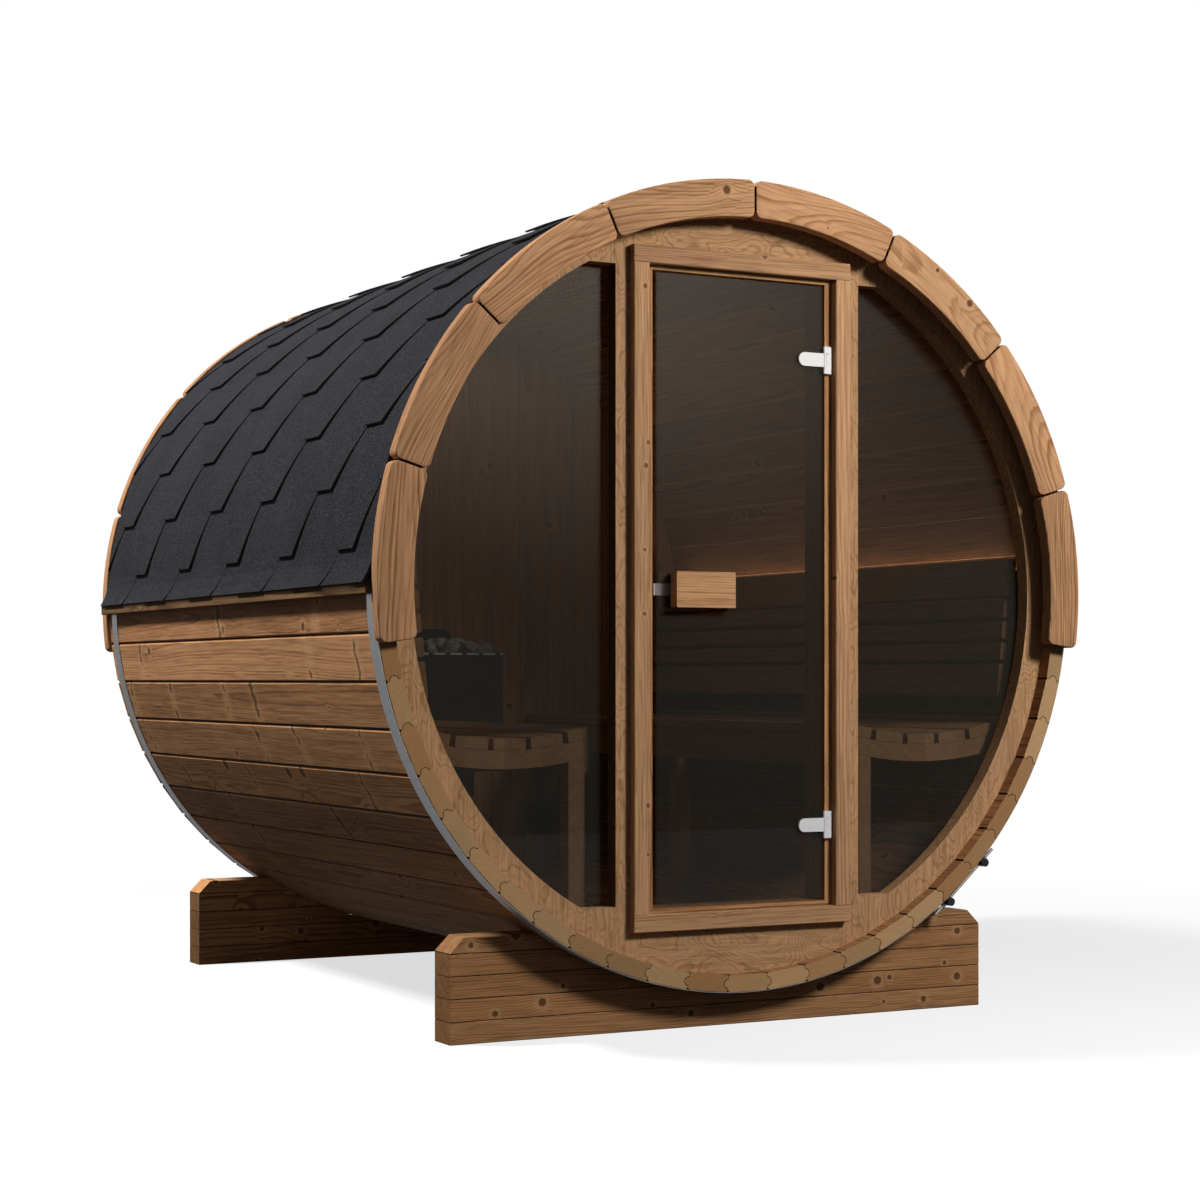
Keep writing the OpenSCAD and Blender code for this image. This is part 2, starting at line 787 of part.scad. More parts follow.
module hinge_leaf() {
  lug_h = (leaf_h - arm_h) / 2 - fit;
  plate_x = jamb_x - pin_x + fit;
  translate([plate_x, wall_y - leaf_t, -leaf_h / 2]) cube([leaf_w, leaf_t, leaf_h]);
  translate([0, pin_y, -leaf_h / 2]) cylinder(r = pin_r, h = leaf_h);
  for (z = [-leaf_h / 2, leaf_h / 2 - lug_h]) translate([0, pin_y, z]) {
    cylinder(r = knuckle_r, h = lug_h);
    translate([0, -knuckle_r, 0]) cube([plate_x + leaf_w / 2, 2 * knuckle_r, lug_h]);
  }
}

module hinge_leaves() color(steel_color) at_hinges() hinge_leaf();

module hinge_arm() {
  edge_x = door_w / 2 - pin_x;
  end_x = edge_x - arm_len + arm_h / 2;
  plate_y = door_y - fit - arm_t;
  bridge_w = -edge_x - fit - knuckle_r / 2;
  difference() {
    union() {
      translate([end_x, plate_y, -arm_h / 2]) cube([-end_x - knuckle_r / 2, arm_t, arm_h]);
      translate([end_x, plate_y, 0]) rotate([-90, 0, 0]) cylinder(r = arm_h / 2, h = arm_t);
      translate([edge_x - clamp_w, door_back_y + fit, -leaf_h / 2])
        cube([clamp_w + fit + bridge_w, arm_t, leaf_h]);
      translate([edge_x + fit, plate_y, -arm_h / 2]) cube([bridge_w, door_glass_t + 2 * (arm_t + fit), arm_h]);
      translate([0, pin_y, -arm_h / 2]) cylinder(r = knuckle_r, h = arm_h);
    }
    translate([0, pin_y, -arm_h / 2 - over]) cylinder(r = pin_r + fit, h = arm_h + 2 * over);
  }
}

module hinge_arms() color(steel_color) at_hinges() hinge_arm();

// Door glass with its handle blocks and catch plate
module door_glass() {
  color(glass_color, 0.6) along_y(door_y, door_glass_t) translate([-door_w / 2, door_z]) square([door_w, door_h]);
}

module handle_block(x, y) {
  color(pale_color) along_y(y, handle_t) translate([x, door_mid_z - handle_h / 2])
    chamfered(handle_w, handle_h, board_chamfer);
}

module handle_outer() handle_block(-door_w / 2 + handle_inset, door_y - fit - handle_t);
module handle_inner() handle_block(-door_w / 2 + handle_inset - handle_shift, door_back_y + catch_t + 2 * fit);

module catch_plate() {
  color(steel_color) along_y(door_back_y + fit, catch_t)
    translate([-door_w / 2 - catch_reach, door_mid_z - catch_h / 2])
      square([catch_reach + handle_inset + handle_t / 2, catch_h]);
}

cradle_front();
cradle_rear();
staves_bottom();
staves_lower_right();
staves_upper_right();
staves_top();
staves_upper_left();
staves_lower_left();
hoop_front();
hoop_rear();
tension_rods();
front_wall_left();
front_wall_right();
front_wall_top();
front_wall_bottom();
window_left();
window_right();
door_jambs();
door_head();
door_threshold();
door_trim();
rear_wall();
vent_grilles();
front_arch_left();
front_arch_right();
rear_arch_left();
rear_arch_right();
roof_left();
roof_right();
eave_laths();
bench_left_slats();
bench_right_slats();
bench_left_frame();
bench_right_frame();
backrest_left();
backrest_right();
backrest_battens();
stove();
stove_stones();
hinge_leaves();
door_glass();
hinge_arms();
handle_outer();
handle_inner();
catch_plate();
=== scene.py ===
"""Looks of the barrel sauna, in metres: X to the right of the door, Y into the barrel, Z up."""

import math
import random

import bpy
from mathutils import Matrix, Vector


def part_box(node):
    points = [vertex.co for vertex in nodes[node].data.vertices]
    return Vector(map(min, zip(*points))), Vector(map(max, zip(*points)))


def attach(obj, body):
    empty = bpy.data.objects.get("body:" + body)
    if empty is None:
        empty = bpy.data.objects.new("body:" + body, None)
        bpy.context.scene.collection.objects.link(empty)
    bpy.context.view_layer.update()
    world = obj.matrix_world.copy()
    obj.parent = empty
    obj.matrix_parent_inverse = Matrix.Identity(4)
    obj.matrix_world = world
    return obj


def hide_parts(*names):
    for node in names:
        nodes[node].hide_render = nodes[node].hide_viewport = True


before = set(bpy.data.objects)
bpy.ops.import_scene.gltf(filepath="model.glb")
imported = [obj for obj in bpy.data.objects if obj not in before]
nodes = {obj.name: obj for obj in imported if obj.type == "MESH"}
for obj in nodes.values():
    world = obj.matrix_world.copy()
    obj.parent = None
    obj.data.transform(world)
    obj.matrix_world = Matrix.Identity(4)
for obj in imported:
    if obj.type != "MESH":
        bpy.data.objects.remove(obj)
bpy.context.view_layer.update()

# Sizes read from the frame
hoop_low, hoop_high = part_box("hoop_front")
stave_low, stave_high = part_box("staves_top")
arch_low, arch_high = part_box("front_arch_right")
stove_low, stove_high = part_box("stove")
head_low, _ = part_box("door_head")
_, sill_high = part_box("door_threshold")
_, eave_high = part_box("eave_laths")
_, cradle_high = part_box("cradle_front")
_, pane_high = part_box("window_left")
door_low, door_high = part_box("door_glass")
panel_low, panel_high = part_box("front_wall_left")
AXIS_Z = (hoop_low.z + hoop_high.z) / 2
HOOP_R = (hoop_high.z - hoop_low.z) / 2
FRONT_Y = stave_low.y
REAR_Y = stave_high.y
ARCH_R = arch_high.x
ARCH_T = arch_high.y - arch_low.y
DOOR_MID_Y = (door_low.y + door_high.y) / 2

# Counts and sizes that the frame doesn't tell
STAVE_COUNT = 54
STAVE_TURN = math.radians(360 / STAVE_COUNT)
BOARD_COUNT = 4
ARCH_DEGREES = 98.2
ARCH_TURN = math.radians(ARCH_DEGREES / BOARD_COUNT)
ARCH_W = 0.095
CRADLE_BOARD = 0.055
REAR_BOARD = 0.105
BENCH_BOARD = 0.105
BASKET_RIM_DROP = 0.08
LATH_SHADE = (0.022, 0.014)
OUTER_SKIN = 0.03
END_SKIN = 0.0004
STAVE_FLAT = 0.0553
BEAD_R = 0.0116
SEAM = 0.001
BEAD_MID = HOOP_R - 0.0231
PANE_LAP = 0.016


class Wire:
    """One shader socket. Sums on it add Math nodes, and node() adds a node of any kind."""

    def __init__(self, tree, socket=None):
        self.tree = tree
        self.socket = socket

    def node(self, kind, settings, sockets, out):
        made = self.tree.nodes.new("ShaderNode" + kind)
        for name, value in settings.items():
            setattr(made, name, value)
        for name, value in sockets.items():
            socket = next(s for s in made.inputs if s.identifier == name)
            if isinstance(value, Wire):
                self.tree.links.new(value.socket, socket)
            else:
                socket.default_value = value
        return Wire(self.tree, next(s for s in made.outputs if s.identifier == out))

    def parts(self):
        """All outputs of the node that this socket belongs to."""
        return [Wire(self.tree, s) for s in self.socket.node.outputs]

    def math(self, operation, *values):
        names = ("Value", "Value_001", "Value_002")
        return self.node("Math", {"operation": operation}, dict(zip(names, values)), "Value")

    def __add__(self, other):
        return self.math("ADD", self, other)

    def __sub__(self, other):
        return self.math("SUBTRACT", self, other)

    def __rsub__(self, other):
        return self.math("SUBTRACT", other, self)

    def __mul__(self, other):
        return self.math("MULTIPLY", self, other)

    def __truediv__(self, other):
        return self.math("DIVIDE", self, other)

    def __rtruediv__(self, other):
        return self.math("DIVIDE", other, self)

    def __pow__(self, other):
        return self.math("POWER", self, other)

    def __gt__(self, other):
        return self.math("GREATER_THAN", self, other)

    def __lt__(self, other):
        return self.math("LESS_THAN", self, other)

    def __abs__(self):
        return self.math("ABSOLUTE", self)

    __radd__ = __add__
    __rmul__ = __mul__


def linear(code):
    """A colour written as six hex digits, as the linear colour that sockets take."""
    shares = [int(code[k:k + 2], 16) / 255 for k in (0, 2, 4)]
    return [s / 12.92 if s < 0.04045 else ((s + 0.055) / 1.055) ** 2.4 for s in shares] + [1.0]


def floor(value):
    return value.math("FLOOR", value)


def fraction(value):
    return value.math("FRACT", value)


def length(a, b):
    return (a * a + b * b) ** 0.5


def step(value, low, high):
    """0 below low, 1 above high, and smooth between them."""
    sockets = {"Value": value, "From Min": low, "From Max": high}
    return value.node("MapRange", {"interpolation_type": "SMOOTHSTEP"}, sockets, "Result")


def mix(share, a, b):
    """Colour a turning to colour b as share goes from 0 to 1."""
    sockets = {"Factor_Float": share, "A_Color": a, "B_Color": b}
    return share.node("Mix", {"data_type": "RGBA"}, sockets, "Result_Color")


def choose(share, a, b):
    """Number a where share is 0 and b where it is 1."""
    return a + (b - a) * share


def shade(colour, factor):
    return colour.node("VectorMath", {"operation": "SCALE"}, {"Vector": colour, "Scale": factor}, "Vector")


def vector(x, y, z):
    return x.node("CombineXYZ", {}, {"X": x, "Y": y, "Z": z}, "Vector")


def noise(place, scale, detail=2.0):
    """Three smooth random fields between 0 and 1."""
    sockets = {"Vector": place, "Scale": scale, "Detail": detail}
    colour = place.node("TexNoise", {}, sockets, "Color")
    return colour.node("SeparateColor", {}, {"Color": colour}, "Red").parts()


def cells(place):
    """Distance to the nearest of scattered points, with two random numbers for each point."""
    settings = {"voronoi_dimensions": "2D"}
    distance = place.node("TexVoronoi", settings, {"Vector": place, "Scale": 1.0}, "Distance")
    colour = distance.parts()[1]
    red, green, _ = colour.node("SeparateColor", {}, {"Color": colour}, "Red").parts()
    return distance, red, green


def chances(number):
    """Three random numbers for each board, ring or cell, from its number."""
    colour = number.node("TexWhiteNoise", {"noise_dimensions": "1D"}, {"W": number + 0.37}, "Color")
    return colour.node("SeparateColor", {}, {"Color": colour}, "Red").parts()


def new_material(name):
    """A material with its Principled shader, and a wire to start from."""
    material = bpy.data.materials.new(name)
    material.use_nodes = True
    return material, Wire(material.node_tree)


def place_on(wire):
    """The point on the surface as three wires."""
    point = wire.node("TexCoord", {}, {}, "Object")
    return point.node("SeparateXYZ", {}, {"Vector": point}, "X").parts()


def finish_wood(material, wire, colour, height, roughness=0.62):
    return finish_material(material, wire, colour, height, roughness=roughness, specular_ior_level=0.04)


def finish_material(material, wire, colour, height=None, depth=0.001, strength=0.4, **constants):
    """Links what varies to the Principled shader and sets its constants."""
    principled = material.node_tree.nodes["Principled BSDF"]
    links = material.node_tree.links
    if isinstance(colour, Wire):
        links.new(colour.socket, principled.inputs["Base Color"])
    else:
        principled.inputs["Base Color"].default_value = colour
    for name, value in constants.items():
        socket = principled.inputs[name.replace("_", " ").title().replace("Ior", "IOR")]
        if isinstance(value, Wire):
            links.new(value.socket, socket)
        else:
            socket.default_value = value
    if height is not None:
        sockets = {"Height": height, "Distance": depth, "Strength": strength}
        normal = wire.node("Bump", {}, sockets, "Normal")
        links.new(normal.socket, principled.inputs["Normal"])
    return material


# Wood

SPIKE_CELL = 0.42


def spike_knots(along, across, board, share):
    """Broken dark threads across the grain where the saw split a branch, with a pale band beside each."""
    place = along / SPIKE_CELL + board * 0.618
    cell = floor(place)
    chance_a, chance_b, chance_c = chances(cell * 13.7 + board * 3.3)
    wobble, width, _ = noise(vector(across * 26, cell * 3.1, board * 1.7), 1.0)
    gap = (place - cell - 0.2 - chance_a * 0.6) * SPIKE_CELL + (chance_b - 0.5) * 0.5 * across
    gap = abs(gap + (wobble - 0.5) * 0.05)
    present = chance_c < share
    half = (width - 0.43) * 0.08
    thread = present * (1 - step(gap, half * 0.3, half)) * (width > 0.43)
    halo = present * (1 - step(gap, 0.008, 0.045))
    return thread, halo


def round_knots(along, across, board, stripe, look):
    """Knots scattered over a board: heart, dark rim, the pale wood round them, and the rings' swell."""
    size = look["knot_cell"]
    gap, chance, width = cells(vector(across / size + board * 7.31, along / size + board * 21.9, board))
    reach = 0.003 + width * look["knot_size"]
    gap = (gap * size + (stripe - 0.5) * 0.008) / reach
    present = chance < look["knots"]
    heart = present * (1 - step(gap, 0.6, 1.0))
    rim = present * step(gap, 0.45, 0.85) * (1 - step(gap, 0.95, 1.5))
    halo = present * (1 - step(gap, 1.0, 3.5))
    swell = present * reach * 1.6 / (1 + (gap / 2.4) ** 2)
    return heart, rim, halo, swell


def softwood(along, across, deep, board, look):
    """Colour, height and figure of flat-sawn boards, from metres along, across and into the board."""
    chance_a, chance_b, chance_c = chances(board)
    slide = board * 7.31
    sway_a, sway_b, blotch = noise(vector(across * 2.6, deep * 2.6, along * look["sway"] + slide), 1.0, 1.0)
    fibre, pore, _ = noise(vector(across * 170 + slide, deep * 170, along * 8), 1.0, 2.0)
    stripe, wander, fleck = noise(vector(across * 42 + slide, deep * 42, along * 1.8), 1.0, 1.0)

    pith = (chance_a - 0.5) * 0.17
    depth = 0.035 + chance_b * 0.06
    reach = length(across - pith + (sway_a - 0.5) * 0.05, deep + depth + (sway_b - 0.5) * look["wave"])
    if look["knots"]:
        heart, rim, knot_halo, swell = round_knots(along, across, board, stripe, look)
        reach = reach + swell
    rings = (reach + along * (chance_c - 0.5) * 0.02) * look["rings"] + wander * look["wander"]
    rings = rings + (fibre - 0.5) * 0.3
    count = floor(rings)
    ring = rings - count
    force = chances(count + slide)[0]
    late = step(ring, 0.3, 0.85) * (1 - step(ring, 0.88, 1.0)) * (0.1 + force * 0.9)

    colour = mix(chance_c * 0.3, look["early"], look["pale"])
    colour = mix(late * look["bold"], colour, look["late"])
    tone = 1 + (chance_b - 0.5) * look["spread"] + (blotch - 0.5) * 0.6 + (fibre - 0.5) * look["fibre"]
    tone = tone + (stripe - 0.5) * look["streak"] - step(pore, 0.52, 0.62) * 0.2
    colour = shade(colour, tone)
    colour = mix(step(fleck, 0.58, 0.7) * look["streak"] * 0.5, colour, look["pale"])
    colour = mix((1 - step(fleck, 0.3, 0.42)) * look["streak"] * 0.67, colour, look["late"])
    height = (fibre - 0.5) * 0.6 - late * 0.06
    if look["knots"]:
        colour = mix(knot_halo * 0.35, colour, look["pale"])
        colour = mix(heart * 0.85, colour, look["knot"])
        colour = mix(rim * 0.65, colour, look["knot_rim"])
        height = height - heart * 0.3
    if look["spikes"]:
        thread, halo = spike_knots(along, across, board, look["spikes"])
        colour = mix(halo * 0.35, colour, look["pale"])
        colour = mix(thread * 0.7, colour, look["knot_rim"])
        height = height - thread * 0.6
    return colour, height, (late, blotch)


def wood_look(**changes):
    look = {
        "early": linear("ad8058"), "late": linear("744a2c"), "pale": linear("c49a6e"),
        "knot": linear("4c2d18"), "knot_rim": linear("24140a"),
        "rings": 150, "bold": 0.85, "spread": 0.22, "sway": 0.8, "wave": 0.05,
        "knots": 0.13, "knot_cell": 0.1, "knot_size": 0.009, "spikes": 0.0, "fibre": 0.75,
        "streak": 0.28, "wander": 0.7,
    }
    look.update(changes)
    return look


def polar_place(x, z):
    """Angle clockwise from the top of the barrel, and distance from its axis."""
    rise = z - AXIS_Z
    return x.math("ARCTAN2", x, rise), length(x, rise)


def stave_wood():
    """Staves counted from the top down each side; a bead lies in the cove of the stave above it."""
    material, wire = new_material("stave_wood")
    x, y, z = place_on(wire)
    angle, radius = polar_place(abs(x), z)
    count = floor(angle / STAVE_TURN + 0.5)
    joint = ((count + 0.5) * STAVE_TURN - angle) * radius
    count = count + (length(joint, radius - BEAD_MID) < BEAD_R)
    across = (angle - count * STAVE_TURN) * HOOP_R
    board = count * x.math("SIGN", x)
    outer = radius > HOOP_R - OUTER_SKIN
    look = wood_look(early=linear("a87953"), late=linear("6f4830"), knots=0.1, knot_size=0.012, spread=0.36,
                     rings=200, bold=0.85, streak=0.36, spikes=outer * 0.65, fibre=0.5 + outer * 0.3)
    colour, height, (late, blotch) = softwood(y, across, HOOP_R - radius, board, look)
    bevel = step(abs(across), STAVE_FLAT, STAVE_FLAT + 0.001) * (1 - outer)
    lined = abs(y) < abs(panel_low.y)
    # Painted shade: the outer faces are darkened next to each joint, where the shadow of the groove between
    # staves falls.
    gap = outer * (abs(across) > STAVE_TURN * HOOP_R / 2 - SEAM * 3)
    colour = shade(colour, 1 - gap * 0.8)
    # Painted highlight: inside the cabin the inner chamfers are painted pale, as if lit from above. Painted
    # shade: in front of and behind the walls they are painted dark.
    colour = mix(bevel * lined * 0.8, colour, linear("e4ba88"))
    colour = mix(bevel * (1 - lined) * 0.9, colour, linear("24140a"))

    end = abs(y) > REAR_Y - END_SKIN
    hue, light, _ = chances(board + 40)
    pores, _, _ = noise(vector(x, z, board), 260.0, 3.0)
    grain = mix(step(hue, 0.3, 1.0), linear("b39068"), linear("a67b52"))
    grain = mix(late * 0.4, grain, linear("86623d"))
    grain = shade(grain, 0.38 + blotch * 0.25 + light * 0.32 + pores * 0.5)
    curve = abs(length(joint, radius - BEAD_MID) - BEAD_R) < SEAM
    straight = (joint < SEAM) * (abs(radius - BEAD_MID) > BEAD_R)
    grain = mix(curve.math("MAXIMUM", curve, straight) * 0.85, grain, linear("2a180c"))
    return finish_wood(material, wire, mix(end, colour, grain), height)


def arch_wood():
    material, wire = new_material("arch_wood")
    x, y, z = place_on(wire)
    angle, radius = polar_place(abs(x), z)
    board = floor(angle / ARCH_TURN)
    lean = angle - (board + 0.5) * ARCH_TURN
    along = radius * lean.math("SINE", lean)
    across = radius * lean.math("COSINE", lean) - (ARCH_R - ARCH_W / 2)
    number = board + (x > 0.0) * 11 + (y > 0.0) * 23
    look = wood_look(early=linear("b98b65"), late=linear("835634"), knots=0.12, wave=0.14, spread=0.16,
                     sway=1.3, rings=190, bold=0.85, fibre=0.6)
    colour, height, _ = softwood(along, across, abs(y) - REAR_Y, number, look)
    # Painted shade: the board ends and a thin strip of face beside them are darkened, for the shade in the
    # gaps between boards.
    gap = abs(lean) * radius > ARCH_TURN / 2 * radius - SEAM * 2.6
    colour = shade(colour, 1 - gap * 0.85)
    return finish_wood(material, wire, colour, height, roughness=0.6)


def cradle_wood():
    material, wire = new_material("cradle_wood")
    x, y, z = place_on(wire)
    board = floor(z / CRADLE_BOARD)
    across = z - (board + 0.5) * CRADLE_BOARD
    look = wood_look(early=linear("9a6e49"), late=linear("6d4729"), knots=0.5, knot_cell=0.09,
                     knot_size=0.007, spread=0.24)
    colour, height, _ = softwood(x, across, abs(y) - REAR_Y, board + (y > 0.0) * 9, look)
    end = abs(x) > cradle_high.x - END_SKIN
    seam = abs(across) > CRADLE_BOARD / 2 - SEAM
    # Painted light: apart from its ends, the rear cradle is painted 1.9 times as light, standing in for
    # light that the barrel keeps from it.
    tone = (1 - end * 0.42) * (1 - seam * 0.8) * (1 + (y > 0.0) * (1 - end) * 0.9)
    return finish_wood(material, wire, shade(colour, tone), height, roughness=0.66)


def trim_wood(name, **changes):
    """Door frame: rails run across above the head and below the sill, and stiles run up between them."""
    material, wire = new_material(name)
    x, y, z = place_on(wire)
    rail_low = sill_high.z - changes.pop("lap")
    rail_high = head_low.z + changes.pop("lap_top")
    rail = (z > rail_high) + (z < rail_low)
    side = x > 0.0
    along = choose(rail, z, x)
    across = choose(rail, abs(x), z)
    number = rail * 3 + side * (1 - rail) + (z > AXIS_Z) * rail * 5
    look = wood_look(**changes)
    colour, height, _ = softwood(along, across - 0.28, y - FRONT_Y, number, look)
    return finish_wood(material, wire, colour, height, roughness=0.6)


def panel_wood(name, upright):
    """Plywood with the flame figure of a peeled veneer, and painted shade on the upright cut edge of a
    window.
    """
    material, wire = new_material(name)
    x, y, z = place_on(wire)
    along = z if upright else x
    across = x if upright else z
    wide, narrow, blotch = noise(vector(across * 5 + 5.2, y * 5, along * 2.2), 1.0, 3.0)
    fibre, pore, _ = noise(vector(across * 170, y * 170, along * 12), 1.0, 2.0)
    rings = wide * 46 + narrow * 9 + (fibre - 0.5) * 0.6
    count = floor(rings)
    ring = rings - count
    force = chances(count)[0]
    line = step(ring, 0.45, 0.8) * (1 - step(ring, 0.85, 1.0)) * (0.2 + force * 0.8)
    colour = mix(line * 0.6, linear("b08862"), linear("7d5838"))
    # Painted shade: the upright cut edge of each window, between the panel's two faces, is painted dark.
    inside = (y > panel_low.y + END_SKIN) * (y < panel_high.y - END_SKIN)
    reveal_shade = inside * (abs(x) < PANE_LAP + END_SKIN - pane_high.x)
    tone = 0.46 + blotch * 0.3 + fibre * 0.8 - step(pore, 0.52, 0.62) * 0.16
    colour = shade(colour, tone * (1 - reveal_shade * 0.75))
    return finish_wood(material, wire, colour, (fibre - 0.5) * 0.5 - line * 0.1)


def handle_wood():
    """Blocks with their grain level; the inner block is darkened with painted shade."""
    material, wire = new_material("handle_wood")
    x, y, z = place_on(wire)
    look = wood_look(early=linear("b58860"), late=linear("8c5d3c"), knots=0.0, rings=190, bold=0.6)
    colour, height, _ = softwood(x, z, y, y < FRONT_Y + 0.02, look)
    # Painted shade: the block on the inner side of the glass is painted darker.
    inner_shade = y > DOOR_MID_Y
    return finish_wood(material, wire, shade(colour, 1 - inner_shade * 0.7), height, roughness=0.6)


def lining_wood():
    """Upright boards of the rear wall."""
    material, wire = new_material("lining_wood")
    x, y, z = place_on(wire)
    board = floor(x / REAR_BOARD + 0.5)
    look = wood_look(early=linear("9c7350"), late=linear("7a5537"), knots=0.1, bold=0.55, fibre=0.4)
    colour, height, _ = softwood(z, x - board * REAR_BOARD, y, board, look)
    return finish_wood(material, wire, colour, height, roughness=0.66)


def bench_wood():
    """Slats and bearers, with their grain along the barrel."""
    material, wire = new_material("bench_wood")
    x, y, z = place_on(wire)
    board = floor(abs(x) / BENCH_BOARD) + (z > AXIS_Z) * 7
    look = wood_look(early=linear("a57a54"), late=linear("83593a"), knots=0.0, bold=0.6, fibre=0.5)
    colour, height, _ = softwood(y, x + z, z - x, board, look)
    return finish_wood(material, wire, colour, height, roughness=0.64)


def eave_wood():
    material, wire = new_material("eave_wood")
    x, y, z = place_on(wire)
    look = wood_look(early=linear("3c2819"), late=linear("2c1b0f"), knots=0.08)
    colour, height, _ = softwood(y, z - AXIS_Z, abs(x), x > 0.0, look)
    # Painted shade: a band across the top of the laths, under the shingles' overhang, is painted darker.
    dark = step(z, eave_high.z - LATH_SHADE[0], eave_high.z - LATH_SHADE[1])
    colour = shade(colour, 1 - dark * 0.6)
    return finish_wood(material, wire, colour, height, roughness=0.7)


# Roof, metal, glass and stone

def shingle_granules():
    material, wire = new_material("shingle_granules")
    x, y, z = place_on(wire)
    point = vector(x, y, z)
    grain, fleck, dust = noise(point, 330.0, 3.0)
    patch, streak, _ = noise(point, 5.0, 3.0)
    colour = mix(step(grain, 0.4, 0.6), linear("19191b"), linear("363639"))
    colour = mix(step(fleck, 0.56, 0.66) * 0.6, colour, linear("5c5c60"))
    colour = mix(step(dust, 0.56, 0.66) * 0.6, colour, linear("0c0c0d"))
    colour = shade(colour, 0.7 + patch * 0.4 + streak * 0.25)
    return finish_material(material, wire, colour, grain, 0.002, 0.8, roughness=0.92, specular_ior_level=0.1)


def bitumen():
    material, wire = new_material("bitumen")
    x, y, z = place_on(wire)
    grain, _, _ = noise(vector(x, y, z), 300.0)
    colour = mix(grain, linear("090909"), linear("1a1a1b"))
    return finish_material(material, wire, colour, grain, roughness=0.8)


def hoop_steel():
    """Zinc-coated band, with black lugs standing out from it."""
    material, wire = new_material("hoop_steel")
    x, y, z = place_on(wire)
    _, radius = polar_place(x, z)
    spangle, cloud, _ = noise(vector(x, y, z), 60.0, 3.0)
    lug = radius > HOOP_R + 0.001
    colour = mix(spangle, linear("b4b5b8"), linear("cfd0d3"))
    colour = mix(lug, colour, linear("1c1c1d"))
    roughness = 0.38 + cloud * 0.2
    return finish_material(material, wire, colour, metallic=1 - lug, roughness=roughness)


def rod_steel():
    material, wire = new_material("rod_steel")
    x, y, z = place_on(wire)
    cloud, _, _ = noise(vector(x, y, z), 200.0)
    colour = mix(cloud, linear("9a9da1"), linear("c3c6ca"))
    return finish_material(material, wire, colour, cloud, 0.0005, 0.3, metallic=1.0, roughness=0.35)


def satin_metal(name, shade_from):
    """Satin plates; the clamp plates on the inner side of the glass are painted near black as painted shade.
    """
    material, wire = new_material(name)
    x, y, z = place_on(wire)
    grain, cloud, _ = noise(vector(x * 90, y * 900, z * 900), 1.0)
    colour = mix(cloud, linear("e2e3e4"), linear("f0f0f0"))
    # Painted shade: past the given depth along Y the plates are painted near black.
    colour = mix(y > shade_from, colour, linear("181818"))
    return finish_material(material, wire, colour, metallic=0.25, roughness=0.3 + grain * 0.15)


def smoked_glass():
    material, wire = new_material("smoked_glass")
    x, y, z = place_on(wire)
    cloud, _, _ = noise(vector(x, y, z), 2.0)
    colour = mix(cloud, linear("302f2a"), linear("363530"))
    tint = 0.31 + cloud * 0.03
    return finish_material(material, wire, colour, roughness=0.0, alpha=tint, specular_ior_level=0.45)


def stove_paint():
    material, wire = new_material("stove_paint")
    x, y, z = place_on(wire)
    grain, cloud, _ = noise(vector(x, y, z), 400.0)
    top = stove_high.z - BASKET_RIM_DROP
    front = y < stove_low.y + 0.002
    rim = step(abs(z - top + 0.003), 0.004, 0.003) * front * (fraction(x * 17) > 0.3)
    colour = mix(cloud, linear("1c1d1c"), linear("282a28"))
    colour = mix(rim, colour, linear("b9bab6"))
    return finish_material(material, wire, colour, grain, 0.0005, 0.3, roughness=0.5)


def vent_plastic():
    material, wire = new_material("vent_plastic")
    x, y, z = place_on(wire)
    cloud, grain, _ = noise(vector(x, y, z), 120.0)
    colour = mix(cloud, linear("1b1917"), linear("262320"))
    return finish_material(material, wire, colour, grain, 0.0003, 0.3, roughness=0.55)


def hearth_stone():
    material, wire = new_material("hearth_stone")
    x, y, z = place_on(wire)
    patch, fleck, _ = noise(vector(x, y, z), 28.0, 4.0)
    speck, _, _ = noise(vector(x, y, z), 240.0, 2.0)
    colour = mix(step(patch, 0.35, 0.65), linear("72706c"), linear("b0aea8"))
    colour = mix(step(speck, 0.6, 0.7) * 0.5, colour, linear("d0cec8"))
    return finish_material(material, wire, colour, patch + speck * 0.4, 0.003, 0.6, roughness=0.85)


FINISHES = {
    stave_wood(): [n for n in nodes if n.startswith("staves_")],
    arch_wood(): [n for n in nodes if "_arch_" in n],
    cradle_wood(): ["cradle_front", "cradle_rear"],
    panel_wood("upright_panel", True): ["front_wall_left", "front_wall_right"],
    panel_wood("level_panel", False): ["front_wall_top", "front_wall_bottom"],
    trim_wood("frame_wood", lap=0.0, lap_top=0.0, knots=0.1, knot_size=0.006): [
        "door_jambs", "door_head", "door_threshold"],
    trim_wood("trim_wood", lap=0.012, lap_top=0.012, knots=0.28, knot_cell=0.085, knot_size=0.003,
              early=linear("b48a65"), late=linear("8c5f40"), rings=170, bold=0.75,
              knot=linear("74482a"), knot_rim=linear("3c2414")): [
        "door_trim"],
    handle_wood(): ["handle_outer", "handle_inner"],
    lining_wood(): ["rear_wall"],
    bench_wood(): [n for n in nodes if n.startswith(("bench_", "backrest_"))],
    eave_wood(): ["eave_laths"],
    hoop_steel(): ["hoop_front", "hoop_rear"],
    rod_steel(): ["tension_rods"],
    satin_metal("satin_metal", REAR_Y): ["hinge_leaves", "catch_plate"],
    satin_metal("clamp_metal", DOOR_MID_Y): ["hinge_arms"],
    smoked_glass(): ["window_left", "window_right", "door_glass"],
    stove_paint(): ["stove"],
    vent_plastic(): ["vent_grilles"],
}
for material, names in FINISHES.items():
    for name in names:
        nodes[name].data.materials.clear()
        nodes[name].data.materials.append(material)


# Hand tools for modelling

def activate(*pieces):
    bpy.ops.object.select_all(action="DESELECT")
    for piece in pieces:
        piece.select_set(True)
    bpy.context.view_layer.objects.active = pieces[0]


